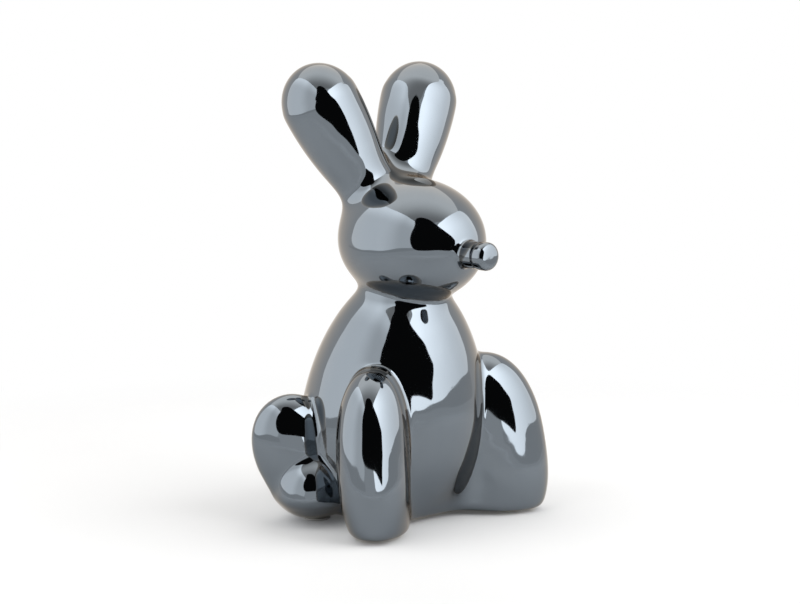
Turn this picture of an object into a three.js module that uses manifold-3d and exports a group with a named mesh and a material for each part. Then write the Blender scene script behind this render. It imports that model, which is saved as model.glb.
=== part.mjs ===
// Seated balloon-animal bunny, a hollow slip-cast and glazed ceramic ornament.
// Millimetres, +Z up. The bunny faces -Y and its own left side is at +X.
// Every bubble of the figure is a casting of its own. The castings are luted together with slip
// before firing, so each one is cut to the surface of the casting that carries it, less the slip
// joint. The hollow ones are cast with an even wall and vent into each other through pin holes,
// down to one pin hole in the torso's floor. Four felt pads are stuck under the soles.

import * as THREE from 'three';
import { mergeVertices } from 'three/addons/utils/BufferGeometryUtils.js';
import Module from 'manifold-3d';

const wasm = await Module();
wasm.setup();

// Joints, walls and holes
const slipJoint = 0.3; // thickness of the slip between two castings
const bodyWall = 5; // torso and head
const limbWall = 4; // ears, forelegs and haunches
const ventDiameter = 3.5;

// Felt pads
const padThickness = 1.2;
const padDiameter = 15;
const padGlue = 0.3;
const soleHeight = padThickness + padGlue; // the soles all lie in this plane

// Torso, an egg that is widest low down and cut flat underneath. All heights are above the soles.
const torsoHalfWidth = 51.6;
const torsoHalfDepth = 50.4;
const torsoWaist = 45.9; // height of the widest section
const torsoRise = 87.7; // from there to the tip of the egg, which lies inside the head
const torsoDrop = 59.4; // from there to where the egg would close below
const torsoRisePower = 1.87;
const torsoDropPower = 2.2;
const torsoSoleEdge = 5;
const torsoBack = 15.7; // middle of its sole
const torsoLean = 0.103; // forwards, per millimetre of height

// Head
const headHalfWidth = 36.2;
const headHalfDepth = 44.3;
const headHalfHeight = 33.8;
const headForward = 4.7;
const headHeight = 149.4;

// Ears, long eggs with the thick end at the tip
const earRadius = 21.3;
const earTip = 23.6; // from the thickest section to the tip
const earRootRise = 13.7; // above the head's middle, where the egg would close inside the head
const earRootPower = 1.83;
const earSplay = 25.9; // degrees outwards
const earSweep = 13; // degrees backwards
const earSpacing = 69; // between the thickest sections
const earBack = 28.2;
const earHeight = 221;

// Nose, the tied mouth of the balloon
const noseHeight = 145.2;
const noseStemRadius = 7;
const noseFlareRadius = 7.7; // where the stem meets the head
const noseCapRadius = 7.5;
const noseStemLength = 9.2; // outside the head
const noseCapThickness = 8;
const noseCapEdge = 2.4;
const noseDome = 1.2;

// Forelegs, oval sausages that lean in and back at the top
const forelegHalfWidth = 25.8; // across the oval, most of it outside the torso
const forelegHalfDepth = 18.9;
const forelegTurn = 33.5; // degrees from sideways to forwards, of the oval's long axis
const forelegWaist = 41;
const forelegRise = 45;
const forelegDrop = 49.5;
const forelegRisePower = 2.4;
const forelegDropPower = 2.7;
const forelegSpacing = 91.2;
const forelegForward = 25.5;
const forelegLeanIn = 0.093; // per millimetre of height
const forelegLeanBack = 0.152;
const forelegBow = 2.4; // how far its lower end turns in
const forelegSoleEdge = 4.5;

// Haunches, flattened eggs that lean out at the top
const haunchHalfWidth = 25.2;
const haunchHalfDepth = 15;
const haunchRise = 34.3;
const haunchDrop = 32.8;
const haunchRisePower = 2.1;
const haunchDropPower = 2.9;
const haunchLift = 1.3; // its lowest point
const haunchSpacing = 102.6;
const haunchBack = 26.2;
const haunchRoll = 27.5; // degrees, the top leaning out
const haunchTurn = 25; // degrees, its outer edge turned backwards

// Hind feet, ovals that point out and a little forwards
const footHalfLength = 29;
const footHalfWidth = 21.6;
const footWaist = 14.3;
const footRise = 24.6;
const footDrop = 17.9;
const footDropPower = 1.5;
const footSpacing = 87;
const footBack = 23.6;
const footTurn = 27; // degrees, its outer end turned forwards
const footSoleEdge = 2;

// Tail
const tailRadius = 14;
const tailHeight = 24;
const tailBack = 68;

// Facets
const facetsAround = 28;
const facetsSmall = 20;
const facetsInside = 16;
const ringsLarge = 8; // from the widest section to a pole
const ringsSmall = 6;
const ringsInside = 4;
const soleEdgeSteps = 3;
const ventFacets = 10;

const glaze = new THREE.MeshStandardMaterial({ color: 0x7d8790, roughness: 0.06, metalness: 1 });
const felt = new THREE.MeshStandardMaterial({ color: 0xadaba8, roughness: 0.95, metalness: 0 });

const degrees = THREE.MathUtils.degToRad;

// Half-width of a bulge at a share of its reach: 2 is a circle, more is squarer, less is pointed.
const bulge = (share, power) => Math.pow(Math.max(0, 1 - Math.pow(share, power)), 1 / power);

// One side of a bulge from its widest section (excluded) to its pole, as [radius, height] shares.
function quarter(power, rings) {
  const points = [];
  for (let i = 1; i <= rings; i++) {
    const turn = (i / rings) * (Math.PI / 2);
    const height = Math.pow(Math.sin(turn), 2 / power);
    points.push([i === rings ? 0 : bulge(height, power), height]);
  }
  return points;
}

// Outline of a bubble from its lowest point on the axis to its top one. It is cut flat at `sole`
// where that is given, with a round edge of `edge` there. `grow` moves the outline outwards.
function bubbleOutline(b, grow, rings) {
  const radius = b.radius + grow;
  const rise = b.rise + grow;
  const drop = b.drop + grow;
  const above = quarter(b.risePower ?? 2, rings).map(([r, h]) => [radius * r, h * rise]);
  let below = quarter(b.dropPower ?? 2, rings).map(([r, h]) => [radius * r, -h * drop]);
  if (b.sole !== undefined) {
    const sole = b.sole - grow;
    const top = sole + b.edge;
    const power = b.dropPower ?? 2;
    const edgeRadius = radius * bulge(-top / drop, power);
    const step = 0.01;
    const slope = (radius * bulge(-(top + step) / drop, power) - edgeRadius) / step;
    const corner = new THREE.Vector2(edgeRadius - slope * b.edge, sole);
    const round = new THREE.QuadraticBezierCurve(
      new THREE.Vector2(edgeRadius, top),
      corner,
      new THREE.Vector2(corner.x - b.edge, sole),
    );
    below = below.filter(([, h]) => h > top + b.edge / 4);
    below.push(...round.getPoints(soleEdgeSteps).map((p) => [p.x, p.y]), [0, sole]);
  }
  return [...below.reverse(), [radius, 0], ...above].map(([r, h]) => new THREE.Vector2(r, h));
}

// How far a casting's section at height z has moved sideways.
const drift = (b, z) => [(b.leanX ?? 0) * z + (b.bowX ?? 0) * z * z, (b.leanY ?? 0) * z];

// A bubble in its own frame: its outline turned about +Z, with oval sections that drift.
function bubble(b, grow = 0, around = facetsAround, rings = ringsLarge) {
  const turned = new THREE.LatheGeometry(bubbleOutline(b, grow, rings), around);
  turned.rotateX(Math.PI / 2); // a lathe turns about +Y
  turned.scale(1, ((b.halfDepth ?? b.radius) + grow) / (b.radius + grow), 1);
  turned.rotateZ(degrees(b.turn ?? 0));
  const points = turned.attributes.position;
  for (let i = 0; i < points.count; i++) {
    const [x, y] = drift(b, points.getZ(i));
    points.setXY(i, points.getX(i) + x, points.getY(i) + y);
  }
  return solid(turned);
}

// A closed geometry as a solid that can be cut.
function solid(geometry) {
  const bare = geometry.clone();
  bare.deleteAttribute('normal');
  bare.deleteAttribute('uv');
  const merged = mergeVertices(bare, 1e-4);
  return new wasm.Manifold(
    new wasm.Mesh({
      numProp: 3,
      vertProperties: new Float32Array(merged.attributes.position.array),
      triVerts: new Uint32Array(merged.index.array),
    }),
  );
}

// A solid back as a geometry.
function geometryOf(cut) {
  const mesh = cut.getMesh();
  const flat = new THREE.BufferGeometry();
  flat.setAttribute('position', new THREE.BufferAttribute(new Float32Array(mesh.vertProperties), 3));
  flat.setIndex(new THREE.BufferAttribute(new Uint32Array(mesh.triVerts), 1));
  const faceted = flat.toNonIndexed();
  faceted.computeVertexNormals();
  return faceted;
}

// Where a casting stands: the frame that its form is made in.
function frame(x, y, z, turn = {}) {
  const place = new THREE.Object3D();
  place.position.set(x, y, z);
  place.rotation.set(degrees(turn.x ?? 0), degrees(turn.y ?? 0), degrees(turn.z ?? 0), turn.order);
  place.updateMatrixWorld(true);
  return place;
}

// A solid made in the frame `from`, moved into the frame `to`.
function moved(made, from, to) {
  const matrix = to.matrixWorld.clone().invert().multiply(from.matrixWorld);
  return made.transform(matrix.elements);
}

// A straight pin hole between two points of the statue, in the frame of `place`.
function pinHole(from, to, place) {
  const along = new THREE.Vector3().subVectors(to, from);
  const rod = new THREE.CylinderGeometry(ventDiameter / 2, ventDiameter / 2, along.length(), ventFacets);
  const middle = new THREE.Vector3().addVectors(from, to).multiplyScalar(0.5);
  const turn = new THREE.Quaternion().setFromUnitVectors(new THREE.Vector3(0, 1, 0), along.normalize());
  rod.applyQuaternion(turn).translate(middle.x, middle.y, middle.z);
  return solid(rod).transform(place.matrixWorld.clone().invert().elements);
}

// The forms and frames of the castings
const ground = frame(0, 0, 0);

const torso = {
  at: frame(0, torsoBack - torsoLean * torsoWaist, torsoWaist),
  form: {
    radius: torsoHalfWidth,
    halfDepth: torsoHalfDepth,
    rise: torsoRise,
    drop: torsoDrop,
    risePower: torsoRisePower,
    dropPower: torsoDropPower,
    sole: -torsoWaist,
    edge: torsoSoleEdge,
    leanY: -torsoLean,
  },
};

const head = {
  at: frame(0, -headForward, headHeight),
  form: { radius: headHalfWidth, halfDepth: headHalfDepth, rise: headHalfHeight, drop: headHalfHeight },
};

const earUpright = Math.cos(degrees(earSplay)) * Math.cos(degrees(earSweep)); // rise per length
const earRoot = (earHeight - headHeight - earRootRise) / earUpright; // below its thickest section

const ear = (side) => ({
  at: frame((side * earSpacing) / 2, earBack, earHeight, { x: -earSweep, y: side * earSplay }),
  form: { radius: earRadius, rise: earTip, drop: earRoot, dropPower: earRootPower },
});

const foreleg = (side) => ({
  at: frame((side * forelegSpacing) / 2, -forelegForward, forelegWaist),
  form: {
    radius: forelegHalfWidth,
    halfDepth: forelegHalfDepth,
    turn: -side * forelegTurn,
    rise: forelegRise,
    drop: forelegDrop,
    risePower: forelegRisePower,
    dropPower: forelegDropPower,
    sole: -forelegWaist,
    edge: forelegSoleEdge,
    leanX: -side * forelegLeanIn,
    leanY: forelegLeanBack,
    bowX: (-side * forelegBow) / forelegDrop ** 2,
  },
});

// How far an egg that leans over reaches down: its lowest point is beside its pole.
function reachDown(halfWidth, drop, power, lean) {
  const dual = power / (power - 1);
  const sideways = halfWidth * Math.sin(degrees(lean));
  const upright = drop * Math.cos(degrees(lean));
  return (sideways ** dual + upright ** dual) ** (1 / dual);
}

const haunchWaist = haunchLift + reachDown(haunchHalfWidth, haunchDrop, haunchDropPower, haunchRoll);

const haunch = (side) => ({
  at: frame((side * haunchSpacing) / 2, haunchBack, haunchWaist, {
    y: side * haunchRoll,
    z: side * haunchTurn,
    order: 'ZYX',
  }),
  form: {
    radius: haunchHalfWidth,
    halfDepth: haunchHalfDepth,
    rise: haunchRise,
    drop: haunchDrop,
    risePower: haunchRisePower,
    dropPower: haunchDropPower,
  },
});

const foot = (side) => ({
  at: frame((side * footSpacing) / 2, footBack, footWaist, { z: -side * footTurn }),
  form: {
    radius: footHalfLength,
    halfDepth: footHalfWidth,
    rise: footRise,
    drop: footDrop,
    dropPower: footDropPower,
    sole: -footWaist,
    edge: footSoleEdge,
  },
});

const tail = {
  at: frame(0, tailBack, tailHeight),
  form: { radius: tailRadius, rise: tailRadius, drop: tailRadius },
};

// What a casting takes away from one that is luted to it, `extra` beyond the slip joint.
const seatOf = (carrier, place, extra = 0) => moved(bubble(carrier.form, slipJoint + extra), carrier.at, place);

// The inside of a casting, an even wall in from its outline.
const hollow = (form, wall) => bubble(form, -wall, facetsInside, ringsInside);

// A point of the statue, given in a casting's own frame.
const pointOf = (casting, x, y, z) => new THREE.Vector3(x, y, z).applyMatrix4(casting.at.matrixWorld);

// How far the head reaches forwards at the height of the nose.
const muzzle = headHalfDepth * Math.sqrt(1 - ((noseHeight - headHeight) / headHalfHeight) ** 2);
const noseTip = headForward + muzzle + noseStemLength + noseCapThickness;

// The statue's origin is on the ground, midway between the tip of the nose and the tail's back.
const statue = new THREE.Group();
const figure = new THREE.Group();
figure.position.y = (noseTip - tailBack - tailRadius) / 2;
const castings = new THREE.Group(); // its ground is the plane of the soles
castings.position.z = soleHeight;
statue.add(figure.add(castings));

function add(name, place, made, material = glaze, group = castings) {
  const piece = new THREE.Mesh(geometryOf(made), material);
  piece.name = name;
  piece.position.copy(place.position);
  piece.rotation.copy(place.rotation);
  group.add(piece);
}

// Pin holes, each from the hollow of one casting into the hollow of the one that carries it
const sides = [['left', 1], ['right', -1]];
const torsoMiddle = pointOf(torso, 0, 0, 0);
const headMiddle = pointOf(head, 0, 0, 0);
const neckVent = [headMiddle, new THREE.Vector3(headMiddle.x, headMiddle.y, torsoMiddle.z)];
const floorVent = [torsoMiddle, new THREE.Vector3(torsoMiddle.x, torsoMiddle.y, -torsoSoleEdge)];
const earVents = sides.map(([, side]) => [pointOf(ear(side), 0, 0, 0), headMiddle]);
const limbVents = (limb) =>
  sides.map(([, side]) => {
    const own = limb(side);
    const from = pointOf(own, (side * own.form.radius) / 2, 0, 0);
    return [from, new THREE.Vector3(torsoMiddle.x, torsoMiddle.y, from.z)];
  });
const forelegVents = limbVents(foreleg);
const haunchVents = limbVents(haunch);

function makeTorso() {
  const inside = hollow(torso.form, bodyWall).subtract(seatOf(head, torso.at, bodyWall));
  let made = bubble(torso.form).subtract(seatOf(head, torso.at)).subtract(inside);
  for (const [from, to] of [neckVent, floorVent, ...forelegVents, ...haunchVents]) {
    made = made.subtract(pinHole(from, to, torso.at));
  }
  add('torso_shell', torso.at, made);
}

function makeHead() {
  let made = bubble(head.form).subtract(hollow(head.form, bodyWall));
  for (const [from, to] of [neckVent, ...earVents]) made = made.subtract(pinHole(from, to, head.at));
  add('head_shell', head.at, made);
}

// The roots of the two ears meet behind the crown, so each stops short of the middle by half a
// slip joint, and its hollow by a wall more.
function makeEars() {
  const reach = 2 * (earRadius + earRoot);
  sides.forEach(([name, side], i) => {
    const own = ear(side);
    const pastMiddle = (extra) => {
      const half = new THREE.BoxGeometry(reach, reach, reach);
      half.translate(side * (slipJoint / 2 + extra - reach / 2), earBack, earHeight);
      return moved(solid(half), ground, own.at);
    };
    const inside = hollow(own.form, limbWall)
      .subtract(seatOf(head, own.at, limbWall))
      .subtract(pastMiddle(limbWall));
    const made = bubble(own.form)
      .subtract(seatOf(head, own.at))
      .subtract(pastMiddle(0))
      .subtract(inside)
      .subtract(pinHole(...earVents[i], own.at));
    add(`ear_${name}`, own.at, made);
  });
}

// Flared stem and domed cap, turned about the axis that points forwards.
function makeNose() {
  const root = noseFlareRadius; // how deep the stem would run inside the head
  const capStart = root + noseStemLength;
  const capEnd = capStart + noseCapThickness;
  const faceRadius = noseCapRadius - noseCapEdge;
  const outline = new THREE.Path();
  outline.moveTo(0, 0);
  outline.lineTo(noseFlareRadius, 0);
  outline.lineTo(noseFlareRadius, root);
  outline.quadraticCurveTo(noseStemRadius, root, noseStemRadius, root + noseStemLength / 2);
  outline.lineTo(noseStemRadius, capStart);
  outline.quadraticCurveTo(noseCapRadius, capStart, noseCapRadius, capStart + noseCapEdge);
  outline.lineTo(noseCapRadius, capEnd - noseDome - noseCapEdge);
  outline.quadraticCurveTo(noseCapRadius, capEnd - noseDome, faceRadius, capEnd - noseDome / 2);
  outline.quadraticCurveTo(faceRadius / 2, capEnd, 0, capEnd);
  const turned = new THREE.LatheGeometry(outline.getPoints(4), facetsSmall);
  const place = frame(0, root - headForward - muzzle, noseHeight, { x: 180 });
  add('nose_knot', place, solid(turned).subtract(seatOf(head, place)));
}

function makeForelegs() {
  sides.forEach(([name, side], i) => {
    const leg = foreleg(side);
    const inside = hollow(leg.form, limbWall).subtract(seatOf(torso, leg.at, limbWall));
    const made = bubble(leg.form)
      .subtract(seatOf(torso, leg.at))
      .subtract(inside)
      .subtract(pinHole(...forelegVents[i], leg.at));
    add(`foreleg_${name}`, leg.at, made);
  });
}

function makeHaunches() {
  sides.forEach(([name, side], i) => {
    const own = haunch(side);
    const inside = hollow(own.form, limbWall).subtract(seatOf(torso, own.at, limbWall));
    const made = bubble(own.form)
      .subtract(seatOf(torso, own.at))
      .subtract(inside)
      .subtract(pinHole(...haunchVents[i], own.at));
    add(`haunch_${name}`, own.at, made);
  });
}

function makeFeet() {
  for (const [name, side] of sides) {
    const own = foot(side);
    const made = bubble(own.form, 0, facetsSmall, ringsSmall)
      .subtract(seatOf(torso, own.at))
      .subtract(seatOf(haunch(side), own.at))
      .subtract(seatOf(foreleg(side), own.at));
    add(`hind_foot_${name}`, own.at, made);
  }
}

function makeTail() {
  let made = bubble(tail.form, 0, facetsSmall, ringsSmall).subtract(seatOf(torso, tail.at));
  for (const [, side] of sides) made = made.subtract(seatOf(haunch(side), tail.at));
  add('tail', tail.at, made);
}

// A felt pad under the middle of each foreleg's and each hind foot's sole.
function makePads() {
  const disc = new THREE.CylinderGeometry(padDiameter / 2, padDiameter / 2, padThickness, facetsSmall);
  disc.rotateX(Math.PI / 2);
  for (const [name, side] of sides) {
    for (const [end, limb] of [['front', foreleg(side)], ['back', foot(side)]]) {
      const { sole } = limb.form;
      const middle = pointOf(limb, ...drift(limb.form, sole), sole);
      const place = frame(middle.x, middle.y, padThickness / 2);
      add(`felt_pad_${end}_${name}`, place, solid(disc), felt, figure);
    }
  }
}

makeTorso();
makeHead();
makeEars();
makeNose();
makeForelegs();
makeHaunches();
makeFeet();
makeTail();
makePads();

export default statue;
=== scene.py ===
"""Seated bunny ornament: glazed ceramic castings on four felt pads, photographed on white.

The castings' surfaces follow the forms of the CAD model, with the soft valleys that the glaze
leaves between them. The object's sizes are in millimetres until they reach a mesh, and the
studio's are in metres.
"""
import math

import bpy
import numpy as np
from mathutils import Matrix, Vector


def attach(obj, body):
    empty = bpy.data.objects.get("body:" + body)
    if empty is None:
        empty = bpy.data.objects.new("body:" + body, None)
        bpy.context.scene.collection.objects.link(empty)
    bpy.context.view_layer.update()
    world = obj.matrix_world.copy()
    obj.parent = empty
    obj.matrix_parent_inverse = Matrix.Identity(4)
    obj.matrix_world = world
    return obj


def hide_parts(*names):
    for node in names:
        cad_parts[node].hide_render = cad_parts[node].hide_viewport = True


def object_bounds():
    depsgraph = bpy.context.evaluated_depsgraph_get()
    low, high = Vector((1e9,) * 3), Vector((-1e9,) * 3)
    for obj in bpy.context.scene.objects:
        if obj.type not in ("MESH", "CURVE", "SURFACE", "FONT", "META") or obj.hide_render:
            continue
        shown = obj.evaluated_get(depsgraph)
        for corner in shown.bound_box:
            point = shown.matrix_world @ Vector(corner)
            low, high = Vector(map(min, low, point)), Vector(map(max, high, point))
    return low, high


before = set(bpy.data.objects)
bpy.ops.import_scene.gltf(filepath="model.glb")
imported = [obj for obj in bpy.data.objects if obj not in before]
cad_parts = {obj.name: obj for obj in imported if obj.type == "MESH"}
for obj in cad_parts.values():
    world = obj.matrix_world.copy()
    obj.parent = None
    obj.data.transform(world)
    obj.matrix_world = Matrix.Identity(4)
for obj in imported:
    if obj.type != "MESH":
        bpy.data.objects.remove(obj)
cad_box = [list(corner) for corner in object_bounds()]

MM = 0.001

# Where the soles' plane and the figure's middle stand in the part's frame
SOLE_HEIGHT = 1.5
FIGURE_BACK = -8.072

# Width of the soft valleys where castings meet
NECK_CREASE = 11
EAR_CREASE = 20
LIMB_CREASE = 5
TAIL_CREASE = 4
KNOT_CREASE = 3
KNOT_GROOVE = 0.8
SOLE_EDGE = 6.5

# The web of clay between a foreleg and the torso widens towards the sole
WEB_CREASE = 52
WEB_HEIGHT = 32

# How far above and below a bubble's widest section its two halves' curves blend
WAIST_BLEND = 8

# Least values that keep a bubble's distance finite at its axis, its waist and its middle
LEAST_RADIUS = 0.001
LEAST_HEIGHT = 0.00001
LEAST_SHARE = 0.05
LEAST_SLOPE = 0.002

# The skin: its cells before they are halved, the cells left free round it, the density out there,
# and how far it lies inside the CAD model's surface
CELL = 2.0
FREE_CELLS = 2
OUTSIDE = -100
INSET = 0.1

# The skin is drawn onto the castings in this many steps, each down a slope that is read from
# points this far to either side
DRAWING_STEPS = 4
PROBE = 0.1
LEAST_STEEPNESS = 0.05

# Felt pads: sizes, and how many fibres stand on a square metre
PAD = {
    "radius": 7.4 * MM, "thickness": 1.18 * MM, "round_edge": 0.35 * MM, "lumps": 0.25 * MM,
    "fibre_density": 6e6, "fibre_length": 0.9 * MM, "fibre_radius": 0.014 * MM,
}
LUMP_SCALE = 900.0

# Fibres stand on the pad's rim, lie flat at its sole, stray by these angles and bend by these
# shares of their length
RIM_SHARE = 0.97
SOLE_SHARE = 0.96
FIBRE_STRAY = (1.2, 1.2, 3)
FIBRE_BEND = (0.4, 0, 0.5)

# Gunmetal glaze: its colours, the tint at grazing angles, its waves in mm, and its roughness
GLAZE_DARK = (0.158, 0.181, 0.204)
GLAZE_LIGHT = (0.176, 0.199, 0.222)
GLAZE_RIM_TINT = (1, 0.9, 0.8)
GLAZE_RIPPLE = 0.5
GLAZE_PEEL = 0.001
GLAZE_RUNS = 0.004
GLAZE_ROUGHNESS = 0.02
CLOUD_ROUGHNESS = 0.03
RUN_ROUGHNESS = 0.02
CLOUD_SHARE = 0.6
RUN_STRETCH = (1, 1, 0.08)

# Bare clay and felt
CLAY_DARK = (0.52, 0.47, 0.4)
CLAY_LIGHT = (0.72, 0.67, 0.6)
CLAY_GRAIN = 0.1
CLAY_ROUGHNESS = 0.85
FELT_DARK = (0.32, 0.31, 0.295)
FELT_LIGHT = (0.52, 0.51, 0.49)
FELT_GRAIN = 0.3
FELT_ROUGHNESS = 0.95

# The glaze is wiped off the soles up to this height, fades in over the next part, and its edge
# wanders by the last
WIPED_HEIGHT = 0.5
WIPED_FADE = 0.2
WIPED_WANDER = 0.4

# Floor and light: the table turns to plain white between these distances from the object
TABLE = (0.68, 0.685, 0.69)
TABLE_GLOW = 0.05
TABLE_END = 0.25
WHITE_START = 0.48
WORLD_LIGHT = 0.5
FLOOR_HALF = 6

# Lamp cloths: degrees round the object from the photograph's angle, metres away, size and tone
LEFT_TURN = -65
LEFT_AWAY = 0.52
RIGHT_TURN = 70
RIGHT_AWAY = 0.55
CLOTH_ROUND = 0.16
TOP_HALF = 0.7
TOP_HEIGHT = 0.95
WHITE = (1, 1, 1)
TOP_TINT = (1.04, 1.01, 0.97)
BLACK = 0.01
LIP_TONE = 0.85

# The black cloth round the camera, metres to the right and up
FLAG_AWAY = 0.36
FLAG_ROUND = 0.07
FLAG = [
    (-0.11, 0.083), (0, 0.083), (0.17, 0.083), (0.31, 0.057), (0.39, 0.04), (0.43, 0.143),
    (0.47, 0.22), (0.4, 0.28), (0.33, 0.32), (0.24, 0.38), (0.17, 0.45), (0.12, 0.55),
    (0.08, 0.62), (0, 0.66), (-0.08, 0.65), (-0.11, 0.56), (-0.1, 0.43), (-0.14, 0.31),
    (-0.14, 0.19),
]

# The photograph's camera, in degrees, metres and, for its lens, pixels
PHOTO_AZIMUTH = -41.8
CAMERA_ELEVATION = 7.62
CAMERA_AWAY = 1.1117
AIM_HEIGHT = 0.1168
AIM_SIDEWAYS = -0.00304
FOCAL_PIXELS = 2054.6
IMAGE_PIXELS = 800
SENSOR = 36


# Node trees


class Value:
    """A node's output. A sum on it in Python adds the nodes of that sum."""

    def __init__(self, nodes, socket):
        self.nodes = nodes
        self.socket = socket

    def math(self, operation, *others):
        return self.nodes.add("ShaderNodeMath", {"operation": operation}, [self, *others])

    def vector(self, operation, *others):
        return self.nodes.add("ShaderNodeVectorMath", {"operation": operation}, [self, *others])

    def scaled(self, factor):
        settings = {"operation": "SCALE"}
        return self.nodes.add("ShaderNodeVectorMath", settings, {"Vector": self, "Scale": factor})

    def parts(self):
        split = self.nodes.add("ShaderNodeSeparateXYZ", {}, [self])
        return [split.other_output(axis) for axis in "XYZ"]

    def other_output(self, name):
        return Value(self.nodes, self.socket.node.outputs[name])

    def __add__(self, other):
        return self.math("ADD", other)

    def __sub__(self, other):
        return self.math("SUBTRACT", other)

    def __rsub__(self, other):
        return self.nodes.add("ShaderNodeMath", {"operation": "SUBTRACT"}, [other, self])

    def __mul__(self, other):
        return self.math("MULTIPLY", other)

    def __truediv__(self, other):
        return self.math("DIVIDE", other)

    def __rtruediv__(self, other):
        return self.nodes.add("ShaderNodeMath", {"operation": "DIVIDE"}, [other, self])

    def __pow__(self, other):
        return self.math("POWER", other)

    def __neg__(self):
        return self.math("MULTIPLY", -1)

    def __abs__(self):
        return self.math("ABSOLUTE")

    def __lt__(self, other):
        return self.math("LESS_THAN", other)

    def __gt__(self, other):
        return self.math("GREATER_THAN", other)

    __radd__ = __add__
    __rmul__ = __mul__


class Nodes:
    """Adds nodes to one tree."""

    def __init__(self, tree):
        self.tree = tree

    def add(self, kind, settings=None, sockets=(), output=0):
        node = self.tree.nodes.new(kind)
        for name, setting in (settings or {}).items():
            setattr(node, name, setting)
        given = sockets.items() if isinstance(sockets, dict) else enumerate(sockets)
        for name, value in given:
            if isinstance(value, Value):
                self.tree.links.new(value.socket, node.inputs[name])
            else:
                node.inputs[name].default_value = value
        return Value(self, node.outputs[output]) if node.outputs else node

    @classmethod
    def new_group(cls, name, inputs, outputs):
        """A geometry node tree with named inputs and outputs, and its inputs' values."""
        tree = bpy.data.node_groups.new(name, "GeometryNodeTree")
        for in_out, sockets in (("INPUT", inputs), ("OUTPUT", outputs)):
            for label, kind in sockets.items():
                tree.interface.new_socket(
                    name=label, in_out=in_out, socket_type="NodeSocket" + kind)
        nodes = cls(tree)
        given = tree.nodes.new("NodeGroupInput")
        return nodes, {label: Value(nodes, given.outputs[label]) for label in inputs}

    def group(self, tree, sockets, output=0):
        return self.add("GeometryNodeGroup", {"node_tree": tree}, sockets, output)

    def moved(self, geometry, offset):
        return self.add("GeometryNodeSetPosition", {}, {"Geometry": geometry, "Offset": offset})

    def end(self, geometry, material):
        """The whole tree, once it gives out plain geometry in that material."""
        plain = self.add("GeometryNodeRealizeInstances", {}, {"Geometry": geometry})
        coated = self.add("GeometryNodeSetMaterial", {}, {"Geometry": plain, "Material": material})
        self.add("NodeGroupOutput", {}, {"Geometry": coated})
        return self.tree

    def smooth_range(self, value, start, end, low=0, high=1):
        """Rises from `low` to `high` in a smooth curve while the value goes from start to end."""
        return self.add(
            "ShaderNodeMapRange", {"interpolation_type": "SMOOTHSTEP"},
            {"Value": value, "From Min": start, "From Max": end, "To Min": low, "To Max": high})

    def noise(self, place, scale, detail):
        return self.add(
            "ShaderNodeTexNoise", {}, {"Vector": place, "Scale": scale, "Detail": detail})

    def between(self, factor, one, other):
        """A colour between two."""
        return self.add(
            "ShaderNodeMix", {"data_type": "RGBA"},
            {"Factor": factor, 6: (*one, 1), 7: (*other, 1)}, output=2)

    def relief(self, height):
        return self.add("ShaderNodeBump", {}, {"Height": height, "Strength": 1.0, "Distance": 1.0})


# Forms of the castings


def bubble(centre, radius, rise, drop, half_depth=None, rise_power=2, drop_power=2,
           tilt=(0, 0, 0), order="XYZ", turn=0, lean=(0, 0), bow=0):
    """Sizes of an egg with oval sections that drift sideways, in mm. Its centre is the middle of
    its widest section, and heights count from the soles."""
    place = Matrix.Identity(3)
    for axis in order:
        angle = tilt["XYZ".index(axis)]
        place = place @ Matrix.Rotation(math.radians(angle), 3, axis)
    return {
        "Centre": centre, "Tilt": place.to_euler(), "Radius": radius,
        "Half depth": half_depth or radius, "Rise": rise, "Drop": drop,
        "Rise power": rise_power, "Drop power": drop_power, "Oval turn": math.radians(turn),
        "Lean": (*lean, 0), "Bow": bow,
    }


CASTINGS = {
    "torso_shell": bubble(
        centre=(0, 10.972, 45.9), radius=51.6, half_depth=50.4, rise=87.7, drop=59.4,
        rise_power=1.87, drop_power=2.2, lean=(0, -0.103)),
    "head_shell": bubble(
        centre=(0, -4.7, 149.4), radius=36.2, half_depth=44.3, rise=33.8, drop=33.8),
    "tail": bubble(centre=(0, 68, 24), radius=14, rise=14, drop=14),
    "nose_knot": bubble(
        centre=(0, -60.9, 145.2), radius=7.6, rise=4.97, drop=5.4, rise_power=3.6,
        drop_power=3.6, tilt=(90, 0, 0)),
    "nose_stem": bubble(
        centre=(0, -51.5, 145.2), radius=7.3, rise=9, drop=9, rise_power=6, drop_power=6,
        tilt=(90, 0, 0)),
}
for name, side in (("left", 1), ("right", -1)):
    CASTINGS["ear_" + name] = bubble(
        centre=(side * 34.5, 28.2, 221), radius=21.3, rise=23.6, drop=66, drop_power=1.83,
        tilt=(-13, side * 25.9, 0))
    CASTINGS["foreleg_" + name] = bubble(
        centre=(side * 45.6, -25.5, 41), radius=25.8, half_depth=18.9, rise=45, drop=49.5,
        rise_power=2.4, drop_power=2.7, turn=-side * 33.5, lean=(-side * 0.093, 0.152),
        bow=-side * 0.001)
    CASTINGS["haunch_" + name] = bubble(
        centre=(side * 51.3, 26.2, 34.92), radius=25.2, half_depth=15, rise=34.3, drop=32.8,
        rise_power=2.1, drop_power=2.9, tilt=(0, side * 27.5, side * 25), order="ZYX")
    CASTINGS["hind_foot_" + name] = bubble(
        centre=(side * 43.5, 23.6, 14.3), radius=29, half_depth=21.6, rise=24.6, drop=17.9,
        drop_power=1.5, tilt=(0, 0, -side * 27))


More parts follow.
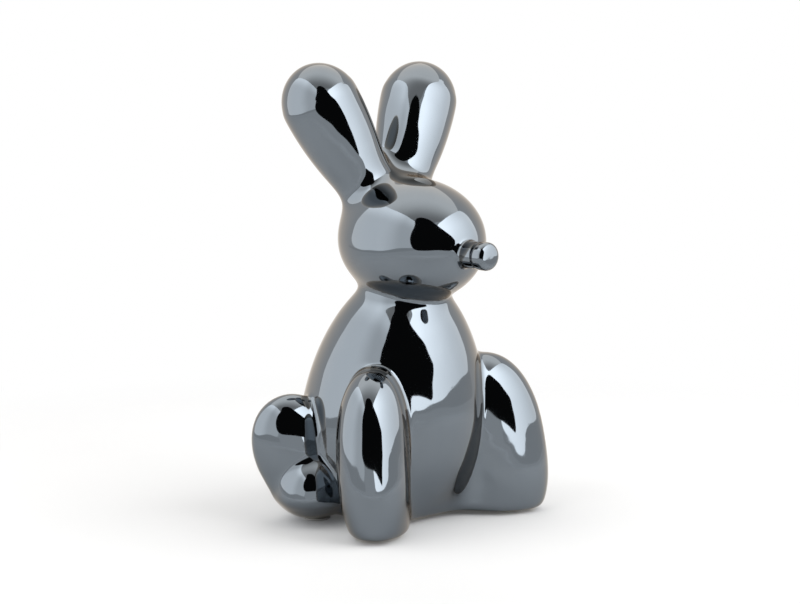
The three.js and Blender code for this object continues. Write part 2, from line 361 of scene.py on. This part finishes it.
def bubble_distance_tree():
    """Distance from a point to one bubble's surface, in mm, exact close to the surface."""
    nodes, given = Nodes.new_group("Bubble distance", {
        "Point": "Vector", "Centre": "Vector", "Tilt": "Vector", "Radius": "Float",
        "Half depth": "Float", "Rise": "Float", "Drop": "Float", "Rise power": "Float",
        "Drop power": "Float", "Oval turn": "Float", "Lean": "Vector", "Bow": "Float",
    }, {"Distance": "Float"})
    local = nodes.add(
        "ShaderNodeVectorRotate", {"rotation_type": "EULER_XYZ", "invert": True},
        {"Vector": given["Point"].vector("SUBTRACT", given["Centre"]),
         "Rotation": given["Tilt"]})
    x, y, z = local.parts()
    lean_x, lean_y, _ = given["Lean"].parts()
    x = x - lean_x * z - given["Bow"] * z * z
    y = y - lean_y * z
    cosine = given["Oval turn"].math("COSINE")
    sine = given["Oval turn"].math("SINE")
    flatness = given["Radius"] / given["Half depth"]
    across = x * cosine + y * sine
    along = (y * cosine - x * sine) * flatness
    radius = (across * across + along * along).math("SQRT").math("MAXIMUM", LEAST_RADIUS)

    upper = nodes.smooth_range(z, -WAIST_BLEND, WAIST_BLEND)
    reach = given["Drop"] + (given["Rise"] - given["Drop"]) * upper
    power = given["Drop power"] + (given["Rise power"] - given["Drop power"]) * upper
    wide = radius / given["Radius"]
    high = (abs(z) / reach).math("MAXIMUM", LEAST_HEIGHT)
    share = ((wide ** power + high ** power) ** (1 / power)).math("MAXIMUM", LEAST_SHARE)
    steepness = share ** (1 - power)
    oval = (across * across + (along * flatness) ** 2).math("SQRT") / radius
    slope_wide = steepness * wide ** (power - 1) / given["Radius"] * oval
    slope_high = steepness * high ** (power - 1) / reach
    slope = (slope_wide * slope_wide + slope_high * slope_high).math("SQRT")
    distance = (share - 1) / slope.math("MAXIMUM", LEAST_SLOPE)
    nodes.add("NodeGroupOutput", {}, {"Distance": distance})
    return nodes.tree


def figure_distance_tree():
    """Distance from a point, in mm above the soles, to the glazed figure, and the number of the
    casting that is nearest, in the order of CASTINGS."""
    nodes, given = Nodes.new_group(
        "Figure distance", {"Point": "Vector"}, {"Distance": "Float", "Casting": "Float"})
    one_bubble = bubble_distance_tree()
    far = {name: nodes.group(one_bubble, {"Point": given["Point"], **sizes})
           for name, sizes in CASTINGS.items()}

    nearest, casting = far["torso_shell"], far["torso_shell"] * 0
    for number, own in enumerate(far.values()):
        casting = casting + (own < nearest) * (number - casting)
        nearest = nearest.math("MINIMUM", own)

    height = given["Point"].parts()[2]
    low = (1 - height / WEB_HEIGHT).math("MAXIMUM", 0)
    knot = far["nose_knot"].math("SMOOTH_MIN", far["nose_stem"], KNOT_GROOVE)
    figure = far["head_shell"].math("SMOOTH_MIN", knot, KNOT_CREASE)
    for name in ("ear_left", "ear_right"):
        figure = figure.math("SMOOTH_MIN", far[name], EAR_CREASE)
    figure = figure.math("SMOOTH_MIN", far["torso_shell"], NECK_CREASE)
    for name in ("foreleg_left", "foreleg_right"):
        figure = figure.math("SMOOTH_MIN", far[name], LIMB_CREASE + WEB_CREASE * low * low)
    for name in ("haunch_left", "haunch_right", "hind_foot_left", "hind_foot_right"):
        figure = figure.math("SMOOTH_MIN", far[name], LIMB_CREASE)
    figure = figure.math("SMOOTH_MIN", far["tail"], TAIL_CREASE)
    figure = figure.math("SMOOTH_MAX", -height, SOLE_EDGE)
    nodes.add("NodeGroupOutput", {}, {"Distance": figure, "Casting": casting})
    return nodes.tree


def glazed_figure_tree():
    """The glazed surface: a coarse skin round the castings, drawn onto them in small steps."""
    nodes, given = Nodes.new_group("Glazed figure", {
        "Geometry": "Geometry", "Lowest corner": "Vector", "Highest corner": "Vector",
        "Cells X": "Int", "Cells Y": "Int", "Cells Z": "Int", "Figure place": "Vector",
        "Inset": "Float", "Probe": "Float", "Glaze": "Material",
    }, {"Geometry": "Geometry"})
    figure = figure_distance_tree()
    position = nodes.add("GeometryNodeInputPosition")
    point = position.scaled(1 / MM).vector("SUBTRACT", given["Figure place"])
    distance = nodes.group(figure, {"Point": point}) + given["Inset"]
    slopes = []
    for axis in range(3):
        probe = nodes.add("ShaderNodeCombineXYZ", {}, {axis: given["Probe"]})
        ahead = nodes.group(figure, {"Point": point.vector("ADD", probe)})
        behind = nodes.group(figure, {"Point": point.vector("SUBTRACT", probe)})
        slopes.append((ahead - behind) / (2 * given["Probe"]))
    x, y, z = slopes
    slope = nodes.add("ShaderNodeCombineXYZ", {}, slopes)
    steepness = (y * y + z * z + x * x).math("MAXIMUM", LEAST_STEEPNESS)
    inwards = slope.scaled(-MM * distance / steepness)

    skin = nodes.add("GeometryNodeVolumeCube", {}, {
        "Density": -distance, "Background": OUTSIDE, "Min": given["Lowest corner"],
        "Max": given["Highest corner"], "Resolution X": given["Cells X"],
        "Resolution Y": given["Cells Y"], "Resolution Z": given["Cells Z"]})
    surface = nodes.add("GeometryNodeVolumeToMesh", {}, {"Volume": skin, "Threshold": 0})
    surface = nodes.moved(surface, inwards)
    surface = nodes.add("GeometryNodeSubdivisionSurface", {}, {"Mesh": surface, "Level": 1})
    for _ in range(DRAWING_STEPS):
        surface = nodes.moved(surface, inwards)
    surface = nodes.add(
        "GeometryNodeStoreNamedAttribute", {"data_type": "FLOAT_VECTOR", "domain": "POINT"},
        {"Geometry": surface, "Name": "outward", "Value": slope.vector("NORMALIZE")})
    surface = nodes.add(
        "GeometryNodeStoreNamedAttribute", {"data_type": "FLOAT", "domain": "FACE"},
        {"Geometry": surface, "Name": "casting",
         "Value": nodes.group(figure, {"Point": point}, "Casting")})
    return nodes.end(surface, given["Glaze"])


def felt_pad_tree():
    """A pressed felt disc with a soft lumpy rim and loose fibres round it."""
    nodes, given = Nodes.new_group("Felt pad", {
        "Geometry": "Geometry", "Place": "Vector", "Radius": "Float", "Thickness": "Float",
        "Round edge": "Float", "Lumps": "Float", "Fibre density": "Float",
        "Fibre length": "Float", "Fibre radius": "Float", "Seed": "Int", "Felt": "Material",
    }, {"Geometry": "Geometry"})
    disc = nodes.add(
        "GeometryNodeMeshCylinder", {"fill_type": "TRIANGLE_FAN"},
        {"Vertices": 96, "Side Segments": 5, "Fill Segments": 12, "Radius": given["Radius"],
         "Depth": given["Thickness"]})
    position = nodes.add("GeometryNodeInputPosition")
    x, y, z = position.parts()
    out = (x * x + y * y).math("SQRT") / given["Radius"]
    up = z * 2 / given["Thickness"]
    lump = nodes.add(
        "ShaderNodeTexNoise", {"noise_dimensions": "4D"},
        {"Vector": position, "W": given["Seed"], "Scale": LUMP_SCALE, "Detail": 2.0})
    inwards = given["Round edge"] * out ** 8 * abs(up) ** 3 + given["Lumps"] * lump * out
    share = inwards / given["Radius"] / out.math("MAXIMUM", LEAST_RADIUS)
    shrink = nodes.add(
        "ShaderNodeCombineXYZ", {},
        [-x * share, -y * share, -up * abs(up) * given["Lumps"] * lump * 0.5])
    disc = nodes.moved(disc, shrink)

    rim = nodes.add(
        "GeometryNodeDistributePointsOnFaces", {},
        {"Mesh": disc, "Selection": out > RIM_SHARE, "Density": given["Fibre density"],
         "Seed": given["Seed"]})
    bend = nodes.add(
        "ShaderNodeCombineXYZ", {}, [given["Fibre length"] * share for share in FIBRE_BEND])
    tip = nodes.add("ShaderNodeCombineXYZ", {}, [0.0, 0.0, given["Fibre length"]])
    line = nodes.add("GeometryNodeCurveQuadraticBezier", {},
                     {"Resolution": 3, "Start": (0, 0, 0), "Middle": bend, "End": tip})
    section = nodes.add("GeometryNodeCurvePrimitiveCircle", {},
                        {"Resolution": 3, "Radius": given["Fibre radius"]})
    fibre = nodes.add("GeometryNodeCurveToMesh", {},
                      {"Curve": line, "Profile Curve": section, "Fill Caps": True})
    stray = nodes.add(
        "FunctionNodeRandomValue", {"data_type": "FLOAT_VECTOR"},
        {0: [-angle for angle in FIBRE_STRAY], 1: FIBRE_STRAY, "Seed": given["Seed"]})
    turn = nodes.add("FunctionNodeRotateRotation", {"rotation_space": "LOCAL"},
                     [rim.other_output("Rotation"), stray])
    fibres = nodes.add("GeometryNodeInstanceOnPoints", {},
                       {"Points": rim, "Instance": fibre, "Rotation": turn})
    fibres = nodes.add("GeometryNodeRealizeInstances", {}, {"Geometry": fibres})
    below = (-up - SOLE_SHARE).math("MAXIMUM", 0) * given["Thickness"] * 0.5
    lift = nodes.add("ShaderNodeCombineXYZ", {}, {"Z": below})
    both = nodes.add("GeometryNodeJoinGeometry", {}, [nodes.moved(fibres, lift)])
    nodes.tree.links.new(disc.socket, both.socket.node.inputs[0])
    placed = nodes.moved(both, given["Place"])
    smooth = nodes.add("GeometryNodeSetShadeSmooth", {}, {"Geometry": placed})
    return nodes.end(smooth, given["Felt"])


def made_by(tree, **sizes):
    """The plain mesh that a tree makes from those sizes."""
    host = bpy.data.objects.new(tree.name, bpy.data.meshes.new(tree.name))
    bpy.context.collection.objects.link(host)
    maker = host.modifiers.new(tree.name, "NODES")
    maker.node_group = tree
    for socket in tree.interface.items_tree:
        name = socket.name.lower().replace(" ", "_")
        if socket.in_out == "INPUT" and name in sizes:
            maker[socket.identifier] = sizes[name]
    evaluated = host.evaluated_get(bpy.context.evaluated_depsgraph_get())
    mesh = bpy.data.meshes.new_from_object(evaluated)
    bpy.data.objects.remove(host)
    return mesh


# Pieces of the glazed surface


def mesh_of(name, points, faces):
    mesh = bpy.data.meshes.new(name)
    mesh.from_pydata(np.asarray(points).tolist(), [], [list(map(int, face)) for face in faces])
    return mesh


def shown(name, data):
    """A new object in the scene."""
    item = bpy.data.objects.new(name, data)
    bpy.context.collection.objects.link(item)
    return item


def read(items, name, width=1, kind=np.float32):
    """One value or vector of every item, a row for each."""
    values = np.empty(len(items) * width, kind)
    items.foreach_get(name, values)
    return values.reshape(-1, width)


def seat_caps(quads, count):
    """Triangles that close each open rim with a new point in its middle, and the rims' points."""
    edges = np.concatenate([quads[:, [i, (i + 1) % 4]] for i in range(4)])
    forward = edges[:, 0].astype(np.int64) * count + edges[:, 1]
    backward = edges[:, 1].astype(np.int64) * count + edges[:, 0]
    rim = edges[~np.isin(forward, backward)]
    group = np.arange(count)
    changed = True
    while changed:
        least = np.minimum(group[rim[:, 0]], group[rim[:, 1]])
        before = group.copy()
        np.minimum.at(group, rim[:, 0], least)
        np.minimum.at(group, rim[:, 1], least)
        changed = (group != before).any()
    rims = np.unique(group[rim[:, 0]])
    middle = count + np.searchsorted(rims, group[rim[:, 0]])
    triangles = np.stack([rim[:, 1], rim[:, 0], middle], 1)
    return triangles, [np.unique(rim[group[rim[:, 0]] == one]) for one in rims]


def casting_piece(name, points, outward, quads):
    """One casting: its share of the glazed surface, closed over its seats."""
    used, quads = np.unique(quads, return_inverse=True)
    quads = quads.reshape(-1, 4)
    points, outward = points[used], outward[used]
    caps, rims = seat_caps(quads, len(points))
    middles = [points[rim].mean(0) for rim in rims]
    mesh = mesh_of(name, [*points, *middles], [*quads, *caps])
    mesh.polygons.foreach_set("use_smooth", [True] * len(mesh.polygons))
    normals = outward[quads.ravel()].tolist()
    for face in list(mesh.polygons)[len(quads):]:
        normals += [face.normal[:]] * 3
    mesh.normals_split_custom_set(normals)
    return shown(name, mesh)


def glazed_castings(glaze):
    """Each casting's piece, cut from the one glazed surface."""
    low = np.array(cad_box[0]) - FREE_CELLS * CELL * MM
    cells = np.ceil((np.array(cad_box[1]) - low) / (CELL * MM) + FREE_CELLS).astype(int)
    surface = made_by(
        glazed_figure_tree(), lowest_corner=low, highest_corner=low + cells * CELL * MM,
        cells_x=int(cells[0]), cells_y=int(cells[1]), cells_z=int(cells[2]),
        figure_place=(0, FIGURE_BACK, SOLE_HEIGHT), inset=INSET, probe=PROBE, glaze=glaze)
    points = read(surface.vertices, "co", 3)
    outward = read(surface.attributes["outward"].data, "vector", 3)
    casting = read(surface.attributes["casting"].data, "value")[:, 0].round().astype(int)
    quads = read(surface.loops, "vertex_index", kind=np.int32).reshape(-1, 4)
    numbers = {name: number for number, name in enumerate(CASTINGS)}
    casting[casting == numbers.pop("nose_stem")] = numbers["nose_knot"]
    return {name: casting_piece("glazed_" + name, points, outward, quads[casting == number])
            for name, number in numbers.items()}


# Finishes


def new_material(name):
    """A material without nodes, and what adds nodes to it."""
    material = bpy.data.materials.new(name)
    material.use_nodes = True
    material.node_tree.nodes.clear()
    return material, Nodes(material.node_tree)


def gunmetal_glaze():
    """Mirror-bright metallic glaze, wavy where the clay was smoothed by hand, with faint runs and
    clouds in it. The soles are wiped down to the pale clay."""
    material, nodes = new_material("gunmetal_glaze")
    place = nodes.add("ShaderNodeTexCoord", output="Object")
    height = place.parts()[2]
    ripple = nodes.noise(place, scale=48.0, detail=1.0)
    peel = nodes.noise(place, scale=600.0, detail=1.0)
    clouds = nodes.noise(place, scale=45.0, detail=4.0)
    runs = nodes.noise(place.vector("MULTIPLY", RUN_STRETCH), scale=260.0, detail=3.0)
    shade = clouds * CLOUD_SHARE + runs * (1 - CLOUD_SHARE)
    rough = clouds * CLOUD_ROUGHNESS + runs * RUN_ROUGHNESS + GLAZE_ROUGHNESS
    waves = ripple * (GLAZE_RIPPLE * MM) + peel * (GLAZE_PEEL * MM) + runs * (GLAZE_RUNS * MM)
    glazed = nodes.add(
        "ShaderNodeBsdfPrincipled", {},
        {"Base Color": nodes.between(shade, GLAZE_DARK, GLAZE_LIGHT), "Metallic": 1.0,
         "Roughness": rough, "Specular Tint": (*GLAZE_RIM_TINT, 1),
         "Normal": nodes.relief(waves)})
    grain = nodes.noise(place, scale=1800.0, detail=3.0)
    clay = nodes.add(
        "ShaderNodeBsdfPrincipled", {},
        {"Base Color": nodes.between(grain, CLAY_DARK, CLAY_LIGHT), "Roughness": CLAY_ROUGHNESS,
         "Normal": nodes.relief(grain * (CLAY_GRAIN * MM))})
    edge = SOLE_HEIGHT + WIPED_HEIGHT
    unwiped = nodes.smooth_range(
        height + ripple * (WIPED_WANDER * MM), edge * MM, (edge + WIPED_FADE) * MM)
    surface = nodes.add("ShaderNodeMixShader", {}, [unwiped, clay, glazed])
    nodes.add("ShaderNodeOutputMaterial", {}, {"Surface": surface})
    return material


def felt():
    """Pale grey pressed felt."""
    material, nodes = new_material("grey_felt")
    place = nodes.add("ShaderNodeTexCoord", output="Object")
    fibres = nodes.noise(place, scale=2500.0, detail=3.0)
    surface = nodes.add(
        "ShaderNodeBsdfPrincipled", {},
        {"Base Color": nodes.between(fibres, FELT_DARK, FELT_LIGHT),
         "Roughness": FELT_ROUGHNESS, "Normal": nodes.relief(fibres * (FELT_GRAIN * MM))})
    nodes.add("ShaderNodeOutputMaterial", {}, {"Surface": surface})
    return material


# Studio


def seen_rays(nodes):
    """1 for what the camera sees, also mirrored or through glass, and 0 for the light cast."""
    direct = nodes.add("ShaderNodeLightPath", output="Is Camera Ray")
    mirrored = direct.other_output("Is Glossy Ray")
    through = direct.other_output("Is Transmission Ray")
    return direct.math("MAXIMUM", mirrored).math("MAXIMUM", through)


def lamp_cloth(name, tint, rises, side=(0, 0, 1), sides=((0, 1), (1, 1))):
    """A lit cloth whose strength follows its height and its place along `side`. `rises` and
    `sides` are pairs of metres and strength, one for each end of a smooth change."""
    material, nodes = new_material(name)
    place = nodes.add("ShaderNodeTexCoord", output="Object")
    strength = 1
    for axis, ((start, low), (end, high)) in (((0, 0, 1), rises), (side, sides)):
        along = place.vector("DOT_PRODUCT", axis).other_output("Value")
        strength = strength * nodes.smooth_range(along, start, end, low, high)
    light = nodes.add("ShaderNodeEmission", {}, {"Color": (*tint, 1), "Strength": strength})
    nodes.add("ShaderNodeOutputMaterial", {}, {"Surface": light})
    return material


def direction(azimuth, elevation=0):
    """Unit vector towards where a camera stands: azimuth 0 looks along +Y."""
    a, e = math.radians(azimuth), math.radians(elevation)
    return Vector((math.sin(a) * math.cos(e), -math.cos(a) * math.cos(e), math.sin(e)))


def sideways(azimuth):
    """Unit vector to the right for who looks at the object from that azimuth."""
    a = math.radians(azimuth)
    return Vector((math.cos(a), math.sin(a), 0))


def rounded(corners, radius, steps=6):
    """A flat outline with each corner turned into an arc."""
    outline = []
    corners = [Vector(corner) for corner in corners]
    for before, corner, after in zip(corners[-1:] + corners, corners, corners[1:] + corners):
        reach = min(radius, (before - corner).length / 2, (after - corner).length / 2)
        start = corner + (before - corner).normalized() * reach
        end = corner + (after - corner).normalized() * reach
        for step in range(steps + 1):
            t = step / steps
            outline.append(start * (1 - t) ** 2 + corner * (2 * t * (1 - t)) + end * t * t)
    return outline


def hung(name, corners, material):
    """A flat cloth that the camera sees only in the glaze."""
    mesh = mesh_of(name, corners, [range(len(corners))])
    mesh.materials.append(material)
    cloth = shown(name, mesh)
    cloth.visible_camera = False


def panel(name, azimuth, away, corners, material, radius=0):
    """An upright panel that faces the object from an azimuth off the photograph's. Its corners
    are metres to the right and up."""
    azimuth += PHOTO_AZIMUTH
    middle = direction(azimuth) * away
    outline = rounded(corners, radius) if radius else corners
    hung(name, [middle + sideways(azimuth) * x + Vector((0, 0, z)) for x, z in outline], material)


def lamp(name, turn, away, cloth, lip, left, lip_left, right, top, step):
    """An upright lit cloth over a lip in the table's tone. Their common edge steps up to the
    right, between the two points of `step`."""
    (_, low), (_, high) = step
    panel(name + "_cloth", turn, away,
          [(left, low), *step, (right, high), (right, top), (left, top)], cloth, CLOTH_ROUND)
    panel(name + "_lip", turn, away,
          [(lip_left, 0), (right, 0), (right, high), *reversed(step), (lip_left, low)], lip)


def studio_floor():
    """A pale table, lit near the object and fading to plain white further out."""
    material, nodes = new_material("studio_floor")
    place = nodes.add("ShaderNodeTexCoord", output="Object")
    away = place.vector("LENGTH").other_output("Value")
    far = nodes.smooth_range(away, TABLE_END, WHITE_START)
    seen = seen_rays(nodes)
    cloth = nodes.add("ShaderNodeBsdfDiffuse", {}, {"Color": (*TABLE, 1)})
    glow = nodes.add("ShaderNodeEmission", {}, {"Strength": seen * TABLE_GLOW})
    near = nodes.add("ShaderNodeAddShader", {}, [cloth, glow])
    strength = WORLD_LIGHT + seen * (1 - WORLD_LIGHT)
    white = nodes.add("ShaderNodeEmission", {}, {"Strength": strength})
    surface = nodes.add("ShaderNodeMixShader", {}, [far, near, white])
    nodes.add("ShaderNodeOutputMaterial", {}, {"Surface": surface})
    return material


def studio_world():
    """A pale room, plain white to the camera and in the glaze."""
    world = bpy.data.worlds.new("studio")
    world.use_nodes = True
    world.node_tree.nodes.clear()
    nodes = Nodes(world.node_tree)
    strength = WORLD_LIGHT + seen_rays(nodes) * (1 - WORLD_LIGHT)
    sky = nodes.add("ShaderNodeBackground", {}, {"Color": (*WHITE, 1), "Strength": strength})
    nodes.add("ShaderNodeOutputWorld", {}, {"Surface": sky})
    return world


def square(half, height):
    """Corners of a level square round the middle."""
    ways = ((-1, -1), (1, -1), (1, 1), (-1, 1))
    return [(half * x, half * y, height) for x, y in ways]


# Ornament

glaze = gunmetal_glaze()
for name, piece in glazed_castings(glaze).items():
    piece.data.materials.append(glaze)
    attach(piece, "root")
    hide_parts(name)

grey_felt = felt()
pad_tree = felt_pad_tree()
pad_names = [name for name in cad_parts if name.startswith("felt_pad")]
for number, name in enumerate(pad_names):
    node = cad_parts[name]
    middle = sum((node.matrix_world @ Vector(corner) for corner in node.bound_box), Vector()) / 8
    mesh = made_by(pad_tree, place=middle, seed=number, felt=grey_felt, **PAD)
    pad = shown("fuzzy_" + name, mesh)
    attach(pad, "root")
    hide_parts(name)

# Floor and light

floor_mesh = mesh_of("floor", square(FLOOR_HALF, 0), [range(4)])
floor_mesh.materials.append(studio_floor())
floor = shown("floor", floor_mesh)

left_cloth = lamp_cloth(
    "left_lamp_cloth", WHITE, rises=((0.5, 2.05), (0.9, 3.0)),
    side=sideways(LEFT_TURN + PHOTO_AZIMUTH), sides=((0.0, 1), (0.3, 0.75)))
right_cloth = lamp_cloth(
    "right_lamp_cloth", WHITE, rises=((0.05, 3.2), (0.6, 3.9)),
    side=sideways(RIGHT_TURN + PHOTO_AZIMUTH), sides=((-0.45, 1.25), (0.4, 0.72)))
top_cloth = lamp_cloth(
    "top_lamp_cloth", TOP_TINT, rises=((0, 1), (1, 1)),
    side=direction(PHOTO_AZIMUTH), sides=((-0.1, 1.9), (0.6, 0.6)))
black_cloth = lamp_cloth("black_cloth", WHITE, rises=((0, BLACK), (1, BLACK)))
lip_cloth = lamp_cloth("table_lip", WHITE, rises=((0, LIP_TONE), (1, LIP_TONE)))

lamp("left", LEFT_TURN, LEFT_AWAY, left_cloth, lip_cloth, left=-0.55, lip_left=-0.75,
     right=0.75, top=0.94, step=[(0, 0.03), (0.25, 0.07)])
lamp("right", RIGHT_TURN, RIGHT_AWAY, right_cloth, lip_cloth, left=-0.6, lip_left=-0.6,
     right=0.56, top=0.88, step=[(-0.13, 0.02), (0.07, 0.09)])
panel("camera_flag", 0, FLAG_AWAY, FLAG, black_cloth, FLAG_ROUND)
hung("top_cloth", square(TOP_HALF, TOP_HEIGHT), top_cloth)

bpy.context.scene.world = studio_world()
bpy.context.scene.view_settings.view_transform = "Standard"

# Camera

back = direction(PHOTO_AZIMUTH, CAMERA_ELEVATION)
aim = Vector((0, FIGURE_BACK * MM, AIM_HEIGHT)) + sideways(PHOTO_AZIMUTH) * AIM_SIDEWAYS
camera = shown("camera", bpy.data.cameras.new("camera"))
camera.data.sensor_width = SENSOR
camera.data.lens = FOCAL_PIXELS / IMAGE_PIXELS * SENSOR
camera.data.clip_end = 100
camera.location = aim + back * CAMERA_AWAY
camera.rotation_euler = back.to_track_quat("Z", "Y").to_euler()
bpy.context.scene.camera = camera
